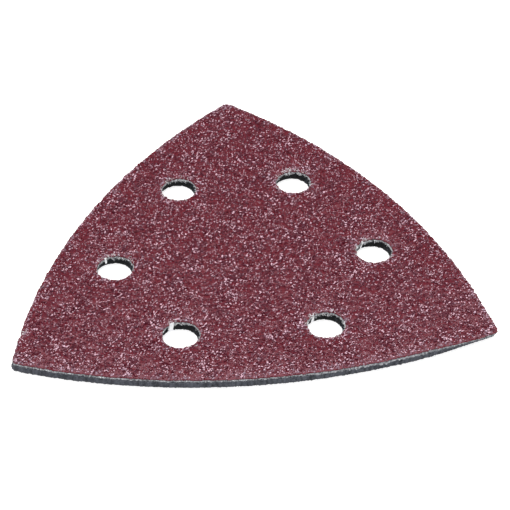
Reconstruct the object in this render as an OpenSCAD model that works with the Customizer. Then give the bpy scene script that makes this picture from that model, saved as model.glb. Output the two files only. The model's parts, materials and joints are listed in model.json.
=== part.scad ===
// Triangular hook-and-loop sanding sheet for a small palm-held detail sander.
// The sheet lies on its loop face: z = 0 is the tips of the pile, the grit is on top.
// The origin is the middle of the sheet, and +Y points at one of the three corners.

/* [Outline] */
// Length of one side, from corner to corner
side_len = 93; // [84:1:112]
// How far the middle of a side bows out past the straight line between its corners
side_bow = 8.8; // [6:0.2:12]
// How much of each sharp corner is cut away, measured towards the middle
corner_cut = 0.3; // [0.1:0.1:1.2]

/* [Dust holes] */
// Diameter of the dust port in the sander's pad
port_d = 6.5; // [5:0.5:8]
// How much wider a punched hole is than the port behind it
port_slack = 1.0; // [0.4:0.1:2]
// Distance from the middle of the sheet to the middle of each hole
hole_ring_r = 26.3; // [24:0.1:28]
// Angle between a hole and the corner nearest to it, seen from the middle
hole_swing = 27.7; // [22:0.1:34]

/* [Loop fabric] */
// Height of the brushed loops
pile_t = 1.15; // [0.6:0.05:2]
// Thickness of the knitted ground that the loops grow from
knit_t = 0.4; // [0.2:0.05:0.8]

/* [Backing] */
// Thickness of the film of adhesive between the fabric and the paper
glue_t = 0.12; // [0.05:0.01:0.3]
// Thickness of the backing paper
paper_t = 0.36; // [0.2:0.01:0.6]

/* [Abrasive] */
// Thickness of the first coat of resin, which the grains stand in
make_t = 0.1; // [0.06:0.01:0.2]
// Thickness of the second coat of resin, which locks the grains in
size_t = 0.14; // [0.08:0.01:0.25]
// Width across a grain of average size
grain_w = 1.1; // [0.8:0.05:1.4]
// How far an average grain stands out of the second coat
grain_proud = 0.28; // [0.1:0.01:0.4]
// Distance between neighbouring grains
grain_pitch = 3.2; // [2.8:0.1:5]

/* [Hidden] */
$fn = 96;

// outline: three large discs, one for each bowed side, and one disc that trims the corners
corner_r = side_len / sqrt(3);
side_r = (side_len * side_len / 4 + side_bow * side_bow) / (2 * side_bow);
side_disc_y = side_r - side_bow - corner_r / 2;
tip_r = corner_r - corner_cut;

// holes: one each side of every corner
hole_r = (port_d + port_slack) / 2;
hole_turns = [for (c = [90, 210, 330]) for (s = [-1, 1]) c + s * hole_swing];

// layers, from the floor up
knit_z = pile_t;
glue_z = knit_z + knit_t;
paper_z = glue_z + glue_t;
make_z = paper_z + paper_t;
size_z = make_z + make_t;
size_top = size_z + size_t;

// grains: a staggered grid with every grain nudged, turned and sized a little differently
edge_land = 0.35;
row_step = grain_pitch * sqrt(3) / 2;
rows = ceil(corner_r / row_step);
columns = ceil(corner_r / grain_pitch) + 1;
nudge = grain_pitch * 0.16;

// a repeatable scatter between 0 and 1 for each grain
function scatter(i, j, k) = abs(sin(i * 127.1 + j * 311.7 + k * 74.7) * 437.585) % 1;
function grain_r(i, j) = grain_w / 2 * (0.8 + 0.4 * scatter(i, j, 1));
function grain_x(i, j) = (i + (j % 2 == 0 ? 0 : 0.5)) * grain_pitch + nudge * (2 * scatter(i, j, 2) - 1);
function grain_y(i, j) = j * row_step + nudge * (2 * scatter(i, j, 3) - 1);

// room between a point and the sheet's edge, and between a point and the nearest hole
function side_room(p) = min([for (a = [0, 120, 240])
    side_r - norm(p - side_disc_y * [-sin(a), cos(a)])]);
function hole_room(p) = min([for (a = hole_turns) norm(p - hole_ring_r * [cos(a), sin(a)]) - hole_r]);
function room(p) = min(side_room(p), tip_r - norm(p), hole_room(p));

// the plan of the sheet as a solid of thickness t standing at height z
module blank(z, t) {
    translate([0, 0, z])
    intersection() {
        translate([0, side_disc_y, 0]) cylinder(h = t, r = side_r);
        rotate([0, 0, 120]) translate([0, side_disc_y, 0]) cylinder(h = t, r = side_r);
        rotate([0, 0, 240]) translate([0, side_disc_y, 0]) cylinder(h = t, r = side_r);
        cylinder(h = t, r = tip_r);
    }
}

module dust_holes(z, t) {
    for (a = hole_turns) {
        rotate([0, 0, a]) translate([hole_ring_r, 0, z - 0.5]) cylinder(h = t + 1, r = hole_r);
    }
}

// one layer of the laminate, cut to the outline and punched
module layer(z, t) {
    difference() {
        blank(z, t);
        dust_holes(z, t);
    }
}

// every grain that fits whole on the sheet, standing on the first coat
module grains() {
    for (j = [-rows : rows]) {
        for (i = [-columns : columns]) {
            p = [grain_x(i, j), grain_y(i, j)];
            r = grain_r(i, j);
            tall = size_t + grain_proud * (0.75 + 0.5 * scatter(i, j, 4));
            if (room(p) > r + edge_land) {
                translate([p[0], p[1], size_z])
                rotate([0, 0, 72 * scatter(i, j, 5)])
                cylinder(h = tall, r = r, $fn = 5);
            }
        }
    }
}

// brushed nylon loops, which the pad's hooks catch
module loop_pile() {
    color([0.33, 0.35, 0.38]) layer(0, pile_t);
}

// knitted ground that holds the loops
module loop_ground_knit() {
    color([0.40, 0.42, 0.45]) layer(knit_z, knit_t);
}

// film that bonds the fabric to the paper
module laminating_adhesive() {
    color([0.78, 0.74, 0.62]) layer(glue_z, glue_t);
}

// heavy paper that carries the abrasive
module backing_paper() {
    color([0.80, 0.78, 0.76]) layer(paper_z, paper_t);
}

// first coat of resin
module make_coat() {
    color([0.42, 0.13, 0.14]) layer(make_z, make_t);
}

// second coat of resin, with a pocket round every grain
module size_coat() {
    color([0.52, 0.17, 0.19])
    difference() {
        layer(size_z, size_t);
        grains();
    }
}

module abrasive_grains() {
    color([0.66, 0.38, 0.40]) grains();
}

loop_pile();
loop_ground_knit();
laminating_adhesive();
backing_paper();
make_coat();
size_coat();
abrasive_grains();
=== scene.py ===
"""Looks of a triangular hook-and-loop sanding sheet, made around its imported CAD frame.

The sheet lies on its loop face with the grit up. Named lengths are in millimetres, and a mesh is
turned into metres as it is made. The plan, the layer heights and the holes come from the frame.
"""

import json
import math

import bpy
import numpy as np
from mathutils import Matrix, Vector
from mathutils.geometry import delaunay_2d_cdt


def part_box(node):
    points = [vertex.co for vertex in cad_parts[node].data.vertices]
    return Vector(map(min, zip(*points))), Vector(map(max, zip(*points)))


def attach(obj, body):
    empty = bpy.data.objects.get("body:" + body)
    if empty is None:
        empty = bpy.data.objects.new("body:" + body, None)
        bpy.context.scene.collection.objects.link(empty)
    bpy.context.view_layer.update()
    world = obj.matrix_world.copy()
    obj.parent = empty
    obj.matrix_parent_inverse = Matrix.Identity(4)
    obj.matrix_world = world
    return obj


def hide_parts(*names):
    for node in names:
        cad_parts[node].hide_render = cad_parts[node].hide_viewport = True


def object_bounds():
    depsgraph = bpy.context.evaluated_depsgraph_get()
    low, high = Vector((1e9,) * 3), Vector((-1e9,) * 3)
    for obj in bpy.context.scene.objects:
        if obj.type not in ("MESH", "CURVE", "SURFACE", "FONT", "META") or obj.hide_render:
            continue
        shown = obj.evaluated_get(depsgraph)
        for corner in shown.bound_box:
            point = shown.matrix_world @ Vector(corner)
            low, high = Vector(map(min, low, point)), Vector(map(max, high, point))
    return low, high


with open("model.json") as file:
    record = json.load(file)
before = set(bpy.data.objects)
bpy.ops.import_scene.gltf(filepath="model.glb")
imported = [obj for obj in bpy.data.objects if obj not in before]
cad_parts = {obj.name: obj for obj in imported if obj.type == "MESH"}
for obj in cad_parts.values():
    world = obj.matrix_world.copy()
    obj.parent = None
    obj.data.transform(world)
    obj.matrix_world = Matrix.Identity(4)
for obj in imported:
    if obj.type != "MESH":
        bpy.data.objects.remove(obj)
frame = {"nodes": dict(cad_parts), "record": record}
cad_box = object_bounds()

MM = 0.001
TURN = 2 * math.pi


# ---------------------------------------------------------------- plan of the sheet, from the frame

def heights(node):
    """Bottom and top of a layer."""
    low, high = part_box(node)
    return low.z / MM, high.z / MM


PILE_Z, KNIT_Z = heights("loop_pile")
GLUE_Z, PAPER_Z = heights("laminating_adhesive")
MAKE_Z, SIZE_Z = heights("make_coat")
GRIT_Z = heights("size_coat")[1]

HOLES = [(np.array(m["pos_m"][:2]) / MM, m["dims"]["r_mm"])
         for m in frame["record"]["mounts"] if m["kind"] == "bore"]

# the outline is three large discs, one for each bowed side, and one that trims the corners
plan_points = np.array([v.co[:2] for v in frame["nodes"]["backing_paper"].data.vertices]) / MM
plan_radii = np.hypot(plan_points[:, 0], plan_points[:, 1])
TIP_R = plan_radii.max()
SIDE_Y = -plan_points[:, 1].min()
tip_y = plan_points[plan_radii > TIP_R - 0.01][:, 1].min()
DISC_Y = (TIP_R ** 2 - SIDE_Y ** 2) / (2 * (SIDE_Y + tip_y))
SIDE_R = DISC_Y + SIDE_Y
DISCS = np.array([[-math.sin(a), math.cos(a)] for a in (0, TURN / 3, 2 * TURN / 3)]) * DISC_Y

EDGE_STEP = 0.12        # distance between points along an edge
CORNER_SOFT = 0.55      # how much the corners are rounded off
CLEAN_CORNER = 0.18     # the same at the corner that points to +X, which was cut cleaner
NICK_TURN = math.radians(203.0)     # direction of a nick in the rim, seen from the middle
NICK_R = 48.8           # distance of the nick from the middle
NICK = NICK_R * np.array([math.cos(NICK_TURN), math.sin(NICK_TURN)])
NICK_DEPTH = 1.3
NICK_HALF = 0.62        # half the nick's width at its mouth
NICK_PINCH = 5.0        # how far from the nick the layers stay flush with each other
NICK_BARE = 0.7         # how far from the nick the grit has broken away
NICK_FRAY = 1.1         # how far from the nick the paper's edge is frayed

LAYER_SHIFT = 0.5       # how far the loop face has slipped sideways under the grit
CRUSHED_CORNER = TIP_R * np.array([math.cos(TURN / 12), -math.sin(TURN / 12)])
CRUSH_REACH = 15.0      # how far in from that corner the pile is crushed
CRUSH = 0.95            # how much thinner the pile is at the very corner
UNDERCUT = 0.9          # how far the fabric falls short of the grit at that corner
DRAWN_OUT = 0.45        # how far that corner is drawn out sideways
DIE_ROLL = 0.18         # how far the cutting die pressed the grit face down at every edge
ROLL_REACH = 2.2        # how far in from an edge that rounding reaches


def room(points):
    """Distance from points in plan to the nearest edge, positive on the sheet."""
    left = TIP_R - np.hypot(points[:, 0], points[:, 1])
    for disc in DISCS:
        left = np.minimum(left, SIDE_R - np.hypot(*(points - disc).T))
    for centre, radius in HOLES:
        left = np.minimum(left, np.hypot(*(points - centre).T) - radius)
    return left


def outline():
    """The sheet's outer edge, anticlockwise, as evenly spaced points."""
    turn = np.linspace(0, TURN, 14400, endpoint=False)
    ray = np.stack([np.cos(turn), np.sin(turn)], 1)
    along = ray @ DISCS.T
    reach = along + np.sqrt(along ** 2 - DISC_Y ** 2 + SIDE_R ** 2)
    soft = np.where(ray @ CRUSHED_CORNER > 0.9 * TIP_R, CLEAN_CORNER, CORNER_SOFT)
    least = reach.min(1)
    reach = least - soft * np.log(np.exp((least[:, None] - reach) / soft[:, None]).sum(1))
    reach -= NICK_DEPTH * np.clip(1 - np.abs(turn - NICK_TURN) * NICK_R / NICK_HALF, 0, 1)
    edge = ray * reach[:, None]
    edge = np.vstack([edge, edge[:1]])
    length = np.concatenate([[0], np.cumsum(np.hypot(*np.diff(edge, axis=0).T))])
    stops = np.linspace(0, length[-1], round(length[-1] / EDGE_STEP), endpoint=False)
    return np.stack([np.interp(stops, length, edge[:, 0]), np.interp(stops, length, edge[:, 1])], 1)


def hole_edge(centre, radius):
    """A hole's edge, clockwise, so that the sheet is on its left as it is along the outline."""
    turn = -np.linspace(0, TURN, round(TURN * radius / EDGE_STEP), endpoint=False)
    return centre + radius * np.stack([np.cos(turn), np.sin(turn)], 1)


edges = [outline()] + [hole_edge(c, r) for c, r in HOLES]
EDGE = np.vstack(edges)
starts = np.cumsum([0] + [len(e) for e in edges])
RUNS = [(starts[i], starts[i + 1]) for i in range(len(edges))]
COUNT = len(EDGE)
NEXT = np.concatenate([np.roll(np.arange(a, b), -1) for a, b in RUNS])
LAST = np.concatenate([np.roll(np.arange(a, b), 1) for a, b in RUNS])
tangent = EDGE[NEXT] - EDGE[LAST]
tangent /= np.hypot(tangent[:, 0], tangent[:, 1])[:, None]
OUTWARD = np.stack([tangent[:, 1], -tangent[:, 0]], 1)
ON_HOLE = np.arange(COUNT) >= RUNS[0][1]


# ---------------------------------------------------------------- noise and mesh tools

def ripple(rng, length):
    """Smooth noise of unit spread along every edge, with bumps about length long."""
    parts = []
    for a, b in RUNS:
        wave = np.fft.rfft(rng.standard_normal(b - a))
        wave *= np.exp(-(np.fft.rfftfreq(b - a, EDGE_STEP) * length) ** 2)
        wave[0] = 0
        wave = np.fft.irfft(wave, b - a)
        parts.append(wave / wave.std())
    return np.concatenate(parts)


def relief(rng, points, length, waves=40):
    """Smooth noise of unit spread over plan points, with bumps about length long."""
    way = rng.uniform(0, TURN, waves)
    pace = TURN / length * rng.uniform(0.45, 1.3, waves)
    phase = rng.uniform(0, TURN, waves)
    total = np.zeros(len(points))
    for w, p, f in zip(way, pace, phase):
        total += np.sin((points[:, 0] * math.cos(w) + points[:, 1] * math.sin(w)) * p + f)
    return total * math.sqrt(2 / waves)


def settle(points):
    """Points where they came to lie: the layers under the grit were cut a little to one side, the
    die pressed every edge down, and at one corner the pile is crushed and cut short, so that the
    corner droops. Nothing reaches below the floor."""
    depth = 1 - np.clip(points[:, 2] / GRIT_Z, 0, 1)
    near = np.clip(1 - np.hypot(*(points[:, :2] - CRUSHED_CORNER).T) / CRUSH_REACH, 0, 1)
    near = near * near * (3 - 2 * near)
    pinched = np.exp(-(np.hypot(*(points[:, :2] - NICK).T) / NICK_PINCH) ** 2)
    moved = points.copy()
    moved[:, 0] += DRAWN_OUT * near - LAYER_SHIFT * (1 - pinched) * depth
    moved[:, :2] -= CRUSHED_CORNER / TIP_R * (UNDERCUT * near * depth)[:, None]
    moved[:, 2] -= CRUSH * near * np.clip(points[:, 2] / KNIT_Z, 0, 1)
    rolled = DIE_ROLL * (1 - near) * np.exp(-np.clip(room(points[:, :2]), 0, None) / ROLL_REACH)
    moved[:, 2] -= rolled * (1 - depth)
    moved[:, 2] = np.maximum(moved[:, 2], 0)
    return moved


def hex_grid(pitch):
    """A staggered grid of plan points that covers the sheet's box."""
    step = pitch * math.sqrt(3) / 2
    rows = math.ceil(TIP_R / step)
    columns = math.ceil(TIP_R / pitch)
    j, i = np.meshgrid(np.arange(-rows, rows + 1), np.arange(-columns, columns + 1), indexing="ij")
    return np.stack([(i + 0.5 * (j % 2)) * pitch, j * step], -1).reshape(-1, 2)


def build(name, points, faces, plan, material, node, sharp=40, second=None, second_faces=None):
    """A piece of the object. points are in millimetres, faces a list of arrays with one face a row,
    and plan each point's place in the flat map that textures are laid out by."""
    corners = np.concatenate([f.ravel() for f in faces]).astype(np.int32)
    sizes = np.concatenate([np.full(len(f), f.shape[1]) for f in faces])
    mesh = bpy.data.meshes.new(name)
    mesh.vertices.add(len(points))
    mesh.vertices.foreach_set("co", (settle(points) * MM).astype(np.float32).ravel())
    mesh.loops.add(len(corners))
    mesh.loops.foreach_set("vertex_index", corners)
    mesh.polygons.add(len(sizes))
    mesh.polygons.foreach_set("loop_start", (np.cumsum(sizes) - sizes).astype(np.int32))
    mesh.update(calc_edges=True)
    flat = 0.5 + plan / MAP_SIDE
    mesh.uv_layers.new(name="OFBake").data.foreach_set("uv", flat[corners].astype(np.float32).ravel())
    mesh.polygons.foreach_set("use_smooth", np.ones(len(sizes), bool))
    mesh.set_sharp_from_angle(angle=math.radians(sharp))
    mesh.materials.append(material)
    if second:
        mesh.materials.append(second)
        mesh.polygons.foreach_set("material_index", second_faces.astype(np.int32))
    piece = bpy.data.objects.new(name, mesh)
    bpy.context.scene.collection.objects.link(piece)
    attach(piece, "root")
    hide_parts(node)
    return piece


MAP_SIDE = 112.0        # side of the square that the flat map covers


def triangles(inner):
    """Triangles over the sheet in plan, with the edges' points first and the inner points after."""
    points = np.vstack([EDGE, inner])
    lines = [(int(i), int(j)) for i, j in enumerate(NEXT)]
    out = delaunay_2d_cdt([Vector(p) for p in points], lines, [], 0, 1e-7)
    origin = np.array([o[0] for o in out[3]])
    tris = np.sort(origin[np.array(out[2])], axis=1)
    a, b, c = (points[tris[:, k]] for k in range(3))
    turn = (b - a)[:, 0] * (c - a)[:, 1] - (b - a)[:, 1] * (c - a)[:, 0]
    run = np.searchsorted(starts, tris, side="right")
    outside = (run[:, 0] == run[:, 2]) & (tris[:, 2] < COUNT) & (turn < 0)
    tris[turn < 0] = tris[turn < 0][:, ::-1]
    return tris[~outside]


def inner_grid(pitch):
    """Plan points inside the sheet, clear of its edges."""
    grid = hex_grid(pitch)
    return grid[room(grid) > max(0.5 * pitch, 0.3)]


def layer(name, node, material, inner, tris, top, bottom, rings, shade_in_holes=None):
    """One layer of the laminate, closed. top and bottom give a height for each inner point.
    rings go from the top down: each is a height and an outward offset for every edge point.
    The last argument is the material of the walls round the holes, where it isn't the layer's own: a
    colour painted dark as the shade that falls in the holes."""
    points, plan = [], []
    for z, out in rings:
        spot = EDGE + OUTWARD * out[:, None]
        points.append(np.column_stack([spot, z]))
        plan.append(spot + OUTWARD * (rings[0][0] - z)[:, None])
    for z in (top, bottom):
        points.append(np.column_stack([inner, z]))
        plan.append(inner)
    faces = []
    for k in range(len(rings) - 1):
        here = np.arange(COUNT) + k * COUNT
        faces.append(np.stack([here, here + COUNT, NEXT + (k + 1) * COUNT, NEXT + k * COUNT], 1))
    skip = (len(rings) - 1) * COUNT
    faces.append(np.where(tris < COUNT, tris, tris + skip))
    under = np.where(tris < COUNT, tris + skip, tris + skip + len(inner))
    faces.append(under[:, ::-1])
    hole_shade_faces = np.concatenate([np.tile(ON_HOLE, len(rings) - 1), np.zeros(2 * len(tris), bool)])
    return build(name, np.vstack(points), faces, np.vstack(plan), material, node,
                 second=shade_in_holes, second_faces=hole_shade_faces)


def tubes(paths, radius, side, sides=4):
    """Closed tubes along paths, an array of tubes by stations by three. side points across each."""
    count, stations = paths.shape[:2]
    along = np.gradient(paths, axis=1)
    along /= np.linalg.norm(along, axis=2, keepdims=True)
    across = side[:, None] - (side[:, None] * along).sum(2, keepdims=True) * along
    across /= np.linalg.norm(across, axis=2, keepdims=True)
    up = np.cross(along, across)
    turn = np.arange(sides) * TURN / sides
    ring = across[:, :, None] * np.cos(turn)[:, None] + up[:, :, None] * np.sin(turn)[:, None]
    points = (paths[:, :, None] + ring * radius[:, None, None, None]).reshape(-1, 3)
    tube, station, corner = np.meshgrid(np.arange(count), np.arange(stations - 1),
                                        np.arange(sides), indexing="ij")
    here = (tube * stations + station) * sides
    after = (corner + 1) % sides
    walls = np.stack([here + corner, here + after, here + sides + after, here + sides + corner], -1)
    foot = (np.arange(count) * stations * sides)[:, None] + np.arange(sides)
    return points, [walls.reshape(-1, 4), foot[:, ::-1], foot + (stations - 1) * sides]


# ---------------------------------------------------------------- materials

class Shader:
    """A material on one Principled shader, with short calls for the nodes that feed it."""

    def __init__(self, name, **sockets):
        self.material = bpy.data.materials.new(name)
        self.material.use_nodes = True
        self.nodes = self.material.node_tree.nodes
        self.links = self.material.node_tree.links
        self.shader = self.nodes["Principled BSDF"]
        for key, value in sockets.items():
            self.shader.inputs[key.replace("_", " ")].default_value = value
        self.place = self.nodes.new("ShaderNodeTexCoord").outputs["Object"]

    def in_mm(self, z=1.0):
        """The point in millimetres, with its height scaled by z."""
        node = self.nodes.new("ShaderNodeMapping")
        node.inputs["Scale"].default_value = (1 / MM, 1 / MM, z / MM)
        self.links.new(self.place, node.inputs["Vector"])
        return node.outputs["Vector"]

    def noise(self, place, scale, detail=2.0, roughness=0.5):
        node = self.nodes.new("ShaderNodeTexNoise")
        for key, value in (("Scale", scale), ("Detail", detail), ("Roughness", roughness)):
            node.inputs[key].default_value = value
        self.links.new(place, node.inputs["Vector"])
        return node.outputs["Fac"]

    def cells(self, place, scale):
        """A random shade for each small cell."""
        node = self.nodes.new("ShaderNodeTexVoronoi")
        node.inputs["Scale"].default_value = scale
        self.links.new(place, node.inputs["Vector"])
        split = self.nodes.new("ShaderNodeSeparateColor")
        self.links.new(node.outputs["Color"], split.inputs["Color"])
        return split.outputs["Red"]

    def ramp(self, fac, stops):
        node = self.nodes.new("ShaderNodeValToRGB")
        points = node.color_ramp.elements
        while len(points) < len(stops):
            points.new(0.5)
        for point, (place, colour) in zip(points, stops):
            point.position = place
            point.color = (*colour, 1)
        self.links.new(fac, node.inputs["Fac"])
        return node.outputs["Color"]

    def span(self, fac, low, high, start=0.0, end=1.0):
        node = self.nodes.new("ShaderNodeMapRange")
        for key, value in (("From Min", start), ("From Max", end), ("To Min", low), ("To Max", high)):
            node.inputs[key].default_value = value
        self.links.new(fac, node.inputs["Value"])
        return node.outputs["Result"]

    def mix(self, fac, first, second):
        node = self.nodes.new("ShaderNodeMix")
        node.data_type = "RGBA"
        for value, key in ((fac, 0), (first, 6), (second, 7)):
            if isinstance(value, (int, float)):
                node.inputs[key].default_value = value
            elif isinstance(value, tuple):
                node.inputs[key].default_value = (*value, 1)
            else:
                self.links.new(value, node.inputs[key])
        return node.outputs[2]

    def bump(self, height, depth):
        """Fine relief on the surface, depth in millimetres."""
        node = self.nodes.new("ShaderNodeBump")
        node.inputs["Distance"].default_value = depth * MM
        self.links.new(height, node.inputs["Height"])
        self.links.new(node.outputs["Normal"], self.shader.inputs["Normal"])

    def feed(self, **sockets):
        for key, source in sockets.items():
            self.links.new(source, self.shader.inputs[key.replace("_", " ")])
        return self.material


def resin_material(name, dark, red, mauve, grey_share, index, smooth, rough):
    """Cured resin over grit: wet-looking, red where it is thick and greyer over a grain's point."""
    s = Shader(name, IOR=index, Specular_Tint=(1.0, 0.70, 0.83, 1))
    flat = s.in_mm(z=0)
    cell = s.cells(flat, 2.0)
    fine = s.noise(flat, 3.2, detail=2, roughness=0.6)
    broad = s.noise(flat, 0.22, detail=3, roughness=0.55)
    tone = s.ramp(fine, [(0.35, dark), (0.55, red)])
    grey = s.span(cell, 0.0, grey_share, 0.30, 0.9)
    tone = s.mix(grey, tone, mauve)
    tone = s.mix(s.span(broad, 0.0, 0.4, 0.5, 0.7), tone, red)
    s.bump(s.noise(s.in_mm(), 7.0, detail=2, roughness=0.6), 0.005)
    return s.feed(Base_Color=tone, Roughness=s.span(fine, smooth, rough, 0.3, 0.7))


def fabric_material(name, dark, light, sheen):
    """Brushed nylon: slate-coloured fibres with paler streaks, soft at a low angle."""
    s = Shader(name, Sheen_Weight=sheen, Sheen_Roughness=0.5, IOR=1.3)
    flat = s.in_mm(z=0.12)
    streak = s.noise(flat, 1.6, detail=3, roughness=0.65)
    fibre = s.noise(flat, 9.0, detail=2, roughness=0.6)
    tone = s.ramp(streak, [(0.34, dark), (0.66, light)])
    tone = s.mix(s.span(fibre, 0.0, 0.5, 0.45, 0.75), tone, light)
    s.bump(s.noise(s.in_mm(), 12.0, detail=2), 0.03)
    return s.feed(Base_Color=tone, Roughness=s.span(fibre, 0.7, 0.95))


def paper_material(name, dark, light):
    """The cut edge of heavy paper: pale matted fibres."""
    s = Shader(name, IOR=1.4)
    flat = s.in_mm(z=0.3)
    matted = s.noise(flat, 3.5, detail=4, roughness=0.75)
    tone = s.ramp(matted, [(0.38, dark), (0.62, light)])
    s.bump(s.noise(s.in_mm(), 10.0, detail=3), 0.03)
    return s.feed(Base_Color=tone, Roughness=s.span(matted, 0.75, 0.95))


RESIN = resin_material("red_resin", (0.086, 0.0075, 0.0155), (0.106, 0.0090, 0.0150),
                       (0.088, 0.014, 0.026), 0.25, 1.25, 0.16, 0.28)
GRAIN = resin_material("resin_coated_grain", (0.083, 0.008, 0.017), (0.102, 0.010, 0.020),
                       (0.093, 0.023, 0.042), 0.6, 1.95, 0.10, 0.22)
# grains chipped at a cut edge: paler broken grit, lightened further as a painted highlight for the
# glints along the edges
CHIPPED_AND_GLINT = resin_material("chipped_grain_and_painted_glint", (0.13, 0.045, 0.065), (0.20, 0.10, 0.13),
                         (0.34, 0.24, 0.30), 1.0, 1.8, 0.2, 0.4)
PAPER = paper_material("paper_edge", (0.06, 0.063, 0.072), (0.42, 0.43, 0.46))
# the paper's cut edge in the holes: pale torn fibres, with dark patches that are painted shade
PAPER_AND_HOLE_SHADE = paper_material("paper_with_painted_hole_shade", (0.010, 0.011, 0.013), (0.64, 0.64, 0.67))
TORN_PAPER = paper_material("torn_paper", (0.85, 0.86, 0.88), (0.96, 0.97, 0.98))
GLUE = paper_material("cured_adhesive", (0.05, 0.053, 0.060), (0.15, 0.155, 0.168))
KNIT = fabric_material("knit_ground", (0.025, 0.027, 0.034), (0.090, 0.096, 0.116), 0.1)
PILE = fabric_material("brushed_loops", (0.022, 0.024, 0.031), (0.084, 0.090, 0.110), 0.1)
# the walls in the holes: near-black painted shade, standing for the shade inside the holes, not a
# colour of the fabric
HOLE_SHADE_FABRIC = fabric_material("loops_painted_hole_shade", (0.002, 0.0025, 0.003), (0.010, 0.0115, 0.0135), 0.0)


# ---------------------------------------------------------------- resin coats and grit

rng = np.random.default_rng(11)
SKIN_PITCH = 0.45
SKIN_RELIEF = 0.03
FLAT_PITCH = 4.0        # pitch of the points over faces that are flat
flat_inner = inner_grid(FLAT_PITCH)
flat_tris = triangles(flat_inner)
skin_inner = inner_grid(SKIN_PITCH)
skin_tris = triangles(skin_inner)

# the cut edge of the grit face breaks back and forth a little, grain by grain
chipped = 0.07 * ripple(rng, 0.5) + 0.05 * ripple(rng, 1.5)


def level(z):
    """A height for every edge point."""
    return np.full(COUNT, z)


def even(z):
    """A height for every inner point of a flat face."""
    return np.full(len(flat_inner), z)


def ragged(rng, spread, length, out=0.0):
    """An outward offset for every edge point, which follows the grit face's edge in part."""
    return chipped * 0.6 + out + spread * ripple(rng, length)


skin_z = GRIT_Z + SKIN_RELIEF * relief(rng, skin_inner, 1.1)
skin_z += 0.5 * SKIN_RELIEF * relief(rng, skin_inner, 4.0)
layer("size_coat_resin", "size_coat", RESIN, skin_inner, skin_tris,
      skin_z, np.full(len(skin_inner), SIZE_Z), [
          (GRIT_Z - 0.03 + 0.02 * ripple(rng, 0.4), chipped),
          (level(SIZE_Z), ragged(rng, 0.03, 0.4)),
      ])
layer("make_coat_resin", "make_coat", RESIN, flat_inner, flat_tris, even(SIZE_Z), even(MAKE_Z), [
    (level(SIZE_Z), ragged(rng, 0.03, 0.4)),
    (level(MAKE_Z), ragged(rng, 0.04, 0.3)),
])

GRAIN_PITCH = 0.46
GRAIN_NUDGE = 0.27              # how far a grain may lie off its grid point, over the pitch
GRAIN_SIDES = 5
GRAIN_LOG = -1.75               # logarithm of half the width of a middling grain, which is 0.17
GRAIN_SPREAD = 0.26             # spread of that logarithm
GRAIN_LEAST = 0.10
GRAIN_MOST = 0.32
GRAIN_STRETCH = (1.0, 2.4)      # length of a grain over its width
GRAIN_WAY = 0.45                # direction that grains lie in, from +X, and its spread
WAY_SPREAD = 0.65
GRAIN_TALL = (0.4, 0.8)         # height of a grain over half its width
FACET_TILT = 0.22               # spread of the facets' tilt
FACET_SHARE = 0.74              # width of the facet over the grain's
BARE = 0.04                     # share of grid points without a grain
BARE_PATCH = 0.30               # how much more of them are bare in a patch
CHIP_AND_GLINT_SHARE = 0.9                # share of the grains chipped at an edge and painted pale as a highlight
CHIP_AND_GLINT_REACH = 0.8                # how far in from an edge that falls off
spots = hex_grid(GRAIN_PITCH)
spots = spots + rng.uniform(-GRAIN_NUDGE, GRAIN_NUDGE, spots.shape) * GRAIN_PITCH
size = np.exp(rng.normal(GRAIN_LOG, GRAIN_SPREAD, len(spots)))        # half a grain's width
size *= 1 + 0.12 * relief(rng, spots, 6.0)
size = np.clip(size, GRAIN_LEAST, GRAIN_MOST)
bare = rng.random(len(spots)) < BARE + BARE_PATCH * (relief(rng, spots, 2.0) > 1.3)
nicked = np.hypot(*(spots - NICK).T) < NICK_BARE
keep = (room(spots) > 0.75 * size) & ~bare & ~nicked
spots, size = spots[keep], size[keep]


def grains(rng, spots, size):
    """Mounds of resin over grains: a foot sunk in the coat, a waist and a tilted facet on top."""
    count = len(spots)
    turn = np.arange(GRAIN_SIDES) + rng.uniform(-0.3, 0.3, (count, GRAIN_SIDES))
    turn *= TURN / GRAIN_SIDES
    turn += rng.uniform(0, TURN, (count, 1))
    ring = np.stack([np.cos(turn), np.sin(turn)], -1)
    way = rng.normal(GRAIN_WAY, WAY_SPREAD, count)
    long_way = np.stack([np.cos(way), np.sin(way)], -1)[:, None]
    stretch = rng.uniform(*GRAIN_STRETCH, count)[:, None, None]
    ring = ring / np.sqrt(stretch) + long_way * (ring * long_way).sum(2, keepdims=True) * (
        np.sqrt(stretch) - 1 / np.sqrt(stretch))
    ring *= size[:, None, None] * rng.uniform(0.85, 1.15, (count, GRAIN_SIDES, 1))
    tall = size * rng.uniform(*GRAIN_TALL, count) + 0.02
    lean = rng.normal(0, 0.05, (count, 1, 2))
    tilt = rng.normal(0, FACET_TILT, (count, 1, 2))
    levels = []
    for spread, rise, shift in ((1.25, -0.10, 0.0), (1.0, 0.30, 0.3), (FACET_SHARE, 1.0, 1.0)):
        flat = ring * spread + lean * shift
        z = GRIT_Z + (tall * rise if rise > 0 else np.full(count, rise))[:, None]
        z = z + (tilt * ring * spread * shift).sum(2)
        levels.append(np.dstack([spots[:, None] + flat, z]))
    points = np.stack(levels, 1).reshape(-1, 3)
    first = np.arange(count)[:, None] * 3 * GRAIN_SIDES
    corner = np.arange(GRAIN_SIDES)
    after = (corner + 1) % GRAIN_SIDES
    faces = [(first + corner)[:, ::-1], first + corner + 2 * GRAIN_SIDES]
    for k in (0, GRAIN_SIDES):
        wall = np.stack([corner + k, after + k, after + k + GRAIN_SIDES, corner + k + GRAIN_SIDES], 1)
        faces.append((first[:, :, None] + wall).reshape(-1, 4))
    return points, faces


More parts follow.
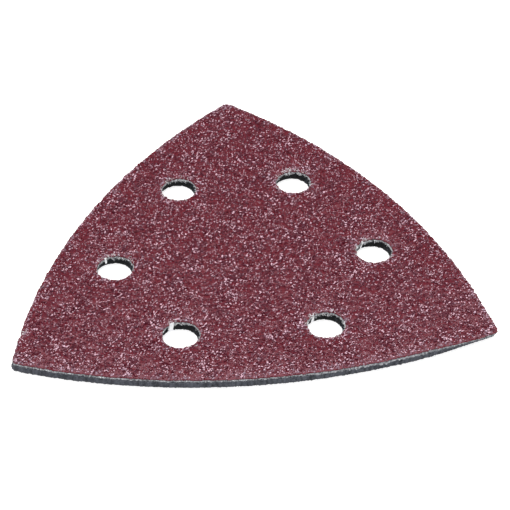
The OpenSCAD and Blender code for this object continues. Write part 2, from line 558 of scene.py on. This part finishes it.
# grains near every cut edge are chipped: their pale colour is partly the broken grit and partly a
# painted highlight for the glints along the edges
chipped_and_glint = rng.random(len(spots)) < CHIP_AND_GLINT_SHARE * np.exp(-room(spots) / CHIP_AND_GLINT_REACH)
whole = np.flatnonzero(~chipped_and_glint)
grades = np.array_split(whole[np.argsort(size[whole])], 5)
for name, chosen, finish in (("finest", grades[0], GRAIN), ("fine", grades[1], GRAIN),
                             ("middle", grades[2], GRAIN), ("coarse", grades[3], GRAIN),
                             ("coarsest", grades[4], GRAIN),
                             ("chipped", np.flatnonzero(chipped_and_glint), CHIPPED_AND_GLINT)):
    points, faces = grains(rng, spots[chosen], size[chosen])
    build(f"abrasive_grains_{name}", points, faces, points[:, :2], finish, "abrasive_grains")


# ---------------------------------------------------------------- paper and adhesive

# place across its hole of each point of a hole's edge, from -1 at -X to 1 at +X
across_hole = np.zeros(COUNT)
for (a, b), (centre, radius) in zip(RUNS[1:], HOLES):
    across_hole[a:b] = (EDGE[a:b, 0] - centre[0]) / radius
clean_side = np.clip((across_hole - 0.25) / 0.5, 0, 1)      # the punch cut the +X side cleaner

torn = np.where(ON_HOLE, 0.11, 0.06)

# how far the paper's edge hangs down: in shreds in the holes, and in a band along the front edge
SHRED_LONG = 0.45
BAND_WIDE = 0.20
BAND_X = (4, 18, 32, 40)        # where the band starts, is full, starts to end and ends
FRONT_Y = -15                   # every edge point below this lies on the front edge
shreds = SHRED_LONG * np.clip(ripple(rng, 0.9) + 0.4 * ripple(rng, 0.3) - 0.3, 0, 1.7)
band = BAND_WIDE * np.interp(EDGE[:, 0], BAND_X, (0, 1, 1, 0))
band = np.where(EDGE[:, 1] < FRONT_Y, band * (1 + 0.5 * ripple(rng, 0.8)), 0)
hang = np.where(ON_HOLE, shreds * (1 - clean_side), band + 0.05 * ripple(rng, 0.7))
paper_foot = PAPER_Z - hang + 0.14 * clean_side
shred_out = np.where(ON_HOLE, 0.06, 0.0) + 0.05 * (paper_foot < PAPER_Z - 0.1)
# in the holes the paper's edge has dark patches of painted shade
layer("backing_paper_sheet", "backing_paper", PAPER, flat_inner, flat_tris,
      even(MAKE_Z), even(PAPER_Z), [
    (level(MAKE_Z), ragged(rng, torn, 0.35, 0.02)),
    (level(MAKE_Z - 0.12), ragged(rng, torn, 0.25, shred_out + 0.03)),
    (np.minimum(paper_foot + 0.1, MAKE_Z - 0.14), ragged(rng, torn, 0.25, shred_out + 0.04)),
    (np.minimum(paper_foot, MAKE_Z - 0.16), ragged(rng, torn, 0.35, shred_out)),
], shade_in_holes=PAPER_AND_HOLE_SHADE)
layer("laminating_adhesive_film", "laminating_adhesive", GLUE, flat_inner, flat_tris,
      even(PAPER_Z), even(GLUE_Z), [
    (level(PAPER_Z), ragged(rng, 0.04, 0.4, -0.03)),
    (level(GLUE_Z), ragged(rng, 0.04, 0.4, -0.03)),
], shade_in_holes=HOLE_SHADE_FABRIC)


def paper_fibres(rng, name, chosen, per_mm, long, out, rise, feet):
    """Loose paper fibres in clumps along the cut edge. out and rise are the ranges of how far they
    reach over the edge and up, as shares of their length, and feet the range of the heights that
    they start from."""
    here = np.flatnonzero(chosen)
    crowd = np.exp(0.9 * ripple(rng, 1.2) - 1.2 * clean_side)[here]
    pick = rng.choice(here, round(len(here) * EDGE_STEP * per_mm), p=crowd / crowd.sum())
    count, stations = len(pick), 6
    t = np.linspace(0, 1, stations)[:, None]
    way = OUTWARD[pick] * rng.uniform(*out, (count, 1))
    way = way + tangent[pick] * rng.normal(0, 0.6, (count, 1))
    reach = np.column_stack([way, rng.uniform(*rise, count)])
    reach *= (long * rng.uniform(0.4, 1.2, count))[:, None]
    curl = rng.normal(0, 0.2, (count, 3)) * long
    foot = np.column_stack([EDGE[pick] + OUTWARD[pick] * rng.uniform(-0.05, 0.05, (count, 1)),
                            rng.uniform(*feet, count)])
    paths = foot[:, None] + reach[:, None] * t + curl[:, None] * np.sin(math.pi * t)
    points, faces = tubes(paths, rng.uniform(0.018, 0.04, count), rng.normal(0, 1, (count, 3)), 3)
    build(name, points, faces, points[:, :2], TORN_PAPER, "backing_paper", sharp=80)


paper_feet = (PAPER_Z + 0.05, MAKE_Z - 0.03)
over_feet = (GRIT_Z - 0.05, GRIT_Z + 0.08)
paper_fibres(rng, "paper_fibres_rim", ~ON_HOLE, 3.2, 0.24, (0.1, 0.6), (-0.9, 0.3), paper_feet)
paper_fibres(rng, "paper_fibres_holes", ON_HOLE, 5.0, 0.55, (0.1, 0.5), (-1.1, 0.2), paper_feet)
paper_fibres(rng, "paper_fibres_over_grit", ON_HOLE, 1.6, 0.75, (-1.0, -0.1), (0.15, 0.6), over_feet)
in_nick = np.hypot(*(EDGE - NICK).T) < NICK_FRAY
paper_fibres(rng, "paper_fibres_nick", in_nick, 45, 0.4, (0.0, 0.7), (-0.2, 0.6),
             (MAKE_Z - 0.1, GRIT_Z))

# torn flaps of paper that hang down the walls of four holes: hole, place round it in degrees,
# width at the top, length, sideways swing and how much it widens on the way down
FLAPS = [(3, 113, 0.50, 2.3, -0.25, 1.6), (3, 121, 0.50, 1.5, -0.25, -0.4),
         (4, 128, 0.60, 2.1, 0.30, 0.2), (2, 122, 0.55, 1.7, 0.45, -0.3),
         (5, 124, 0.42, 2.1, -0.10, -0.2)]
FLAP_THICK = 0.05


def paper_flap(rng, name, hole, turn, width, long, swing, flare):
    """A closed strip of torn paper that hangs in front of a hole's wall."""
    centre, radius = HOLES[hole]
    turn = math.radians(turn)
    inward = -np.array([math.cos(turn), math.sin(turn)])
    aside = np.array([-inward[1], inward[0]])
    rows, columns = 9, 4
    t = np.linspace(0, 1, rows)[:, None]
    u = np.linspace(-0.5, 0.5, columns)[None]
    wide = width * (1 + flare * t ** 1.5) * (1 + 0.12 * rng.normal(0, 1, (rows, 1)))
    away = 0.05 + 0.22 * np.sin(math.pi * 0.75 * t) + 0.05 * np.cos(TURN * u)
    spot = (centre - inward * radius + inward * away[..., None]
            + aside * (u * wide + swing * t ** 1.3)[..., None])
    z = np.broadcast_to(GRIT_Z + 0.12 - long * t, spot.shape[:2])
    front = np.dstack([spot, z]).reshape(-1, 3)
    back = front - np.array([*inward, 0]) * FLAP_THICK
    grid = np.arange(rows * columns).reshape(rows, columns)
    quads = np.stack([grid[:-1, :-1], grid[1:, :-1], grid[1:, 1:], grid[:-1, 1:]], -1).reshape(-1, 4)
    rim = np.concatenate([grid[0], grid[1:, -1], grid[-1, -2::-1], grid[-2:0:-1, 0]])
    shift = rows * columns
    side = np.stack([rim, np.roll(rim, -1), np.roll(rim, -1) + shift, rim + shift], 1)
    points = np.vstack([front, back])
    build(name, points, [quads, quads[:, ::-1] + shift, side], points[:, :2], TORN_PAPER,
          "backing_paper", sharp=60)


for k, flap in enumerate(FLAPS):
    paper_flap(rng, f"paper_flap_{k + 1}", *flap)


# ---------------------------------------------------------------- loop fabric

def wall_rings(rng, top, bottom, steps, spread, bulge):
    """Rings for a fabric wall: streaks that run down it, and a shallow bulge at mid height."""
    streak = spread * ripple(rng, 0.45) + 0.5 * spread * ripple(rng, 2.0)
    rings = []
    for k in range(steps + 1):
        share = k / steps
        out = streak + bulge * math.sin(math.pi * share) + 0.5 * spread * ripple(rng, 0.3)
        edge = 0.03 * ripple(rng, 0.5) if k == steps else 0
        rings.append((np.full(COUNT, top + (bottom - top) * share) + edge, out))
    return rings


PILE_PITCH = 0.5
TUFT_PITCH = 0.85
TUFT_DEPTH = 0.16
CORE_Z = PILE_Z + 0.30          # height of the matted part of the pile, which the loops stand out of

ground = layer("loop_ground_sheet", "loop_ground_knit", KNIT, flat_inner, flat_tris,
               even(GLUE_Z), even(KNIT_Z), wall_rings(rng, GLUE_Z, KNIT_Z, 3, 0.05, 0.03),
               shade_in_holes=HOLE_SHADE_FABRIC)

pile_inner = inner_grid(PILE_PITCH)
pile_tris = triangles(pile_inner)
tufts = (np.cos(TURN * pile_inner[:, 0] / TUFT_PITCH)
         * np.cos(TURN * pile_inner[:, 1] / (TUFT_PITCH * 1.2)))
fabric_parts = [layer(
    "loop_pile_mat", "loop_pile", PILE, pile_inner, pile_tris, np.full(len(pile_inner), KNIT_Z),
    CORE_Z - TUFT_DEPTH * tufts + 0.05 * relief(rng, pile_inner, 1.6),
    wall_rings(rng, KNIT_Z, 0.08, 6, 0.035, 0.04), shade_in_holes=HOLE_SHADE_FABRIC)]


LOOP_STATIONS = 6


def loops(rng, foot, out, high, deep, width, thick):
    """Arched fibres. foot is where each starts in plan, out the way it leans, high and deep the
    heights of its feet and of its tip."""
    count = len(foot)
    t = np.linspace(0, 1, LOOP_STATIONS)
    arch = np.sin(math.pi * t) ** 0.8
    way = rng.uniform(0, TURN, count)
    span = np.stack([np.cos(way), np.sin(way)], -1) * width[:, None]
    flat = foot[:, None] + span[:, None] * (t - 0.5)[:, None] + out[:, None] * arch[:, None]
    z = high[:, None] + (deep - high)[:, None] * arch + rng.normal(0, 0.02, (count, LOOP_STATIONS))
    side = np.column_stack([-span[:, 1], span[:, 0], np.zeros(count)])
    paths = np.dstack([flat, np.maximum(z, thick[:, None])])
    return tubes(paths, thick, side)


def add_loops(name, points, faces, material):
    return build(name, points, faces, points[:, :2], material, "loop_pile", sharp=80)


# loops over the underside, on the knit's own rows
UNDER_PITCH = 0.82
under = hex_grid(UNDER_PITCH)
under = under + rng.normal(0, 0.12, under.shape)
under = under[room(under) > 0.25]
half = under[:, 0] < 0
for name, chosen in (("left", half), ("right", ~half)):
    foot = under[chosen]
    count = len(foot)
    points, faces = loops(rng, foot, rng.normal(0, 0.16, (count, 2)), np.full(count, CORE_Z + 0.1),
                          rng.uniform(0.03, 0.12, count), rng.uniform(0.25, 0.6, count),
                          rng.uniform(0.035, 0.055, count))
    fabric_parts.append(add_loops(f"loop_pile_loops_{name}", points, faces, PILE))

# loops that stand out of the cut walls; in the holes they are painted near-black as the shade that
# falls there, and at the ends of each hole the fabric keeps its own paler colour
side_walls = ON_HOLE & (np.abs(across_hole) + 0.12 * ripple(rng, 1.0) > 0.80)
for name, chosen, per_mm, finish in (("rim", ~ON_HOLE, 9, PILE), ("holes", ON_HOLE, 9, HOLE_SHADE_FABRIC),
                                     ("hole_ends", side_walls, 22, PILE)):
    here = np.flatnonzero(chosen)
    pick = rng.choice(here, round(len(here) * EDGE_STEP * per_mm))
    count = len(pick)
    foot = EDGE[pick] + rng.uniform(-0.06, 0.06, (count, 2)) - OUTWARD[pick] * 0.02
    lean = OUTWARD[pick] * rng.uniform(0.0, 0.09, (count, 1)) + rng.normal(0, 0.03, (count, 2))
    high = rng.uniform(0.25, KNIT_Z - 0.05, count)
    deep = np.maximum(high + rng.normal(-0.25, 0.35, count), 0.14)
    points, faces = loops(rng, foot, lean, high, deep, rng.uniform(0.08, 0.4, count),
                          rng.uniform(0.025, 0.045, count))
    fabric_parts.append(add_loops(f"loop_pile_fuzz_{name}", points, faces, finish))


# ---------------------------------------------------------------- floor, light and camera

def area_light(name, spot, width, height, power):
    """A softbox that faces the middle of the sheet. Its place and size are in metres."""
    lamp = bpy.data.lights.new(name, "AREA")
    lamp.shape = "RECTANGLE"
    lamp.size = width
    lamp.size_y = height
    lamp.energy = power
    light = bpy.data.objects.new(name, lamp)
    light.location = spot
    light.rotation_euler = (-Vector(spot)).to_track_quat("-Z", "Y").to_euler()
    bpy.context.scene.collection.objects.link(light)


def floor_plane():
    """A plain white floor, bright enough to read as white paper."""
    half = 3.0                          # metres
    low = cad_box[0].z - 0.02 * MM      # just under the sheet, so that the two never touch
    mesh = bpy.data.meshes.new("floor")
    mesh.from_pydata([(-half, -half, low), (half, -half, low), (half, half, low), (-half, half, low)],
                     [], [(0, 1, 2, 3)])
    s = Shader("white_floor", Roughness=0.9, Specular_IOR_Level=0.0, Emission_Strength=0.75)
    s.shader.inputs["Emission Color"].default_value = (1, 1, 1, 1)
    shade = s.noise(s.place, 3.0, detail=2)
    tone = s.ramp(shade, [(0.3, (0.60, 0.60, 0.60)), (0.7, (0.64, 0.64, 0.64))])
    mesh.materials.append(s.feed(Base_Color=tone))
    floor = bpy.data.objects.new("floor", mesh)
    bpy.context.scene.collection.objects.link(floor)


CAMERA_TARGET = Vector((2.03, -0.19, GRIT_Z)) * MM
CAMERA_AWAY = 362.8 * MM
CAMERA_AZIMUTH = math.radians(-93.9)
CAMERA_ELEVATION = math.radians(40.07)
CAMERA_ROLL = math.radians(-1.27)
CAMERA_LENS = 126.4     # with a sensor 36 wide


def camera():
    """A long lens from the front and a little to the left, above the sheet."""
    flat_share = math.cos(CAMERA_ELEVATION)
    back = Vector((flat_share * math.cos(CAMERA_AZIMUTH), flat_share * math.sin(CAMERA_AZIMUTH),
                   math.sin(CAMERA_ELEVATION)))
    level_right = Vector((0, 0, 1)).cross(back).normalized()
    level_up = back.cross(level_right)
    right = level_right * math.cos(CAMERA_ROLL) + level_up * math.sin(CAMERA_ROLL)
    up = back.cross(right)
    data = bpy.data.cameras.new("camera")
    data.lens = CAMERA_LENS
    data.sensor_width = 36
    data.clip_start = 0.01
    eye = bpy.data.objects.new("camera", data)
    turn = Matrix((right, up, back)).transposed().to_4x4()
    eye.matrix_world = Matrix.Translation(CAMERA_TARGET + back * CAMERA_AWAY) @ turn
    bpy.context.scene.collection.objects.link(eye)
    bpy.context.scene.camera = eye


world = bpy.data.worlds.new("studio")
world.use_nodes = True
world.node_tree.nodes["Background"].inputs["Color"].default_value = (1, 1, 1, 1)
world.node_tree.nodes["Background"].inputs["Strength"].default_value = 0.34
bpy.context.scene.world = world
bpy.context.scene.view_settings.view_transform = "Standard"
area_light("overhead_softbox", (0.0, 0.48, 0.985), 1.3, 0.7, 19.6)
area_light("front_softbox", (0.0, -0.95, 0.55), 0.9, 0.5, 4.5)
floor_plane()
camera()
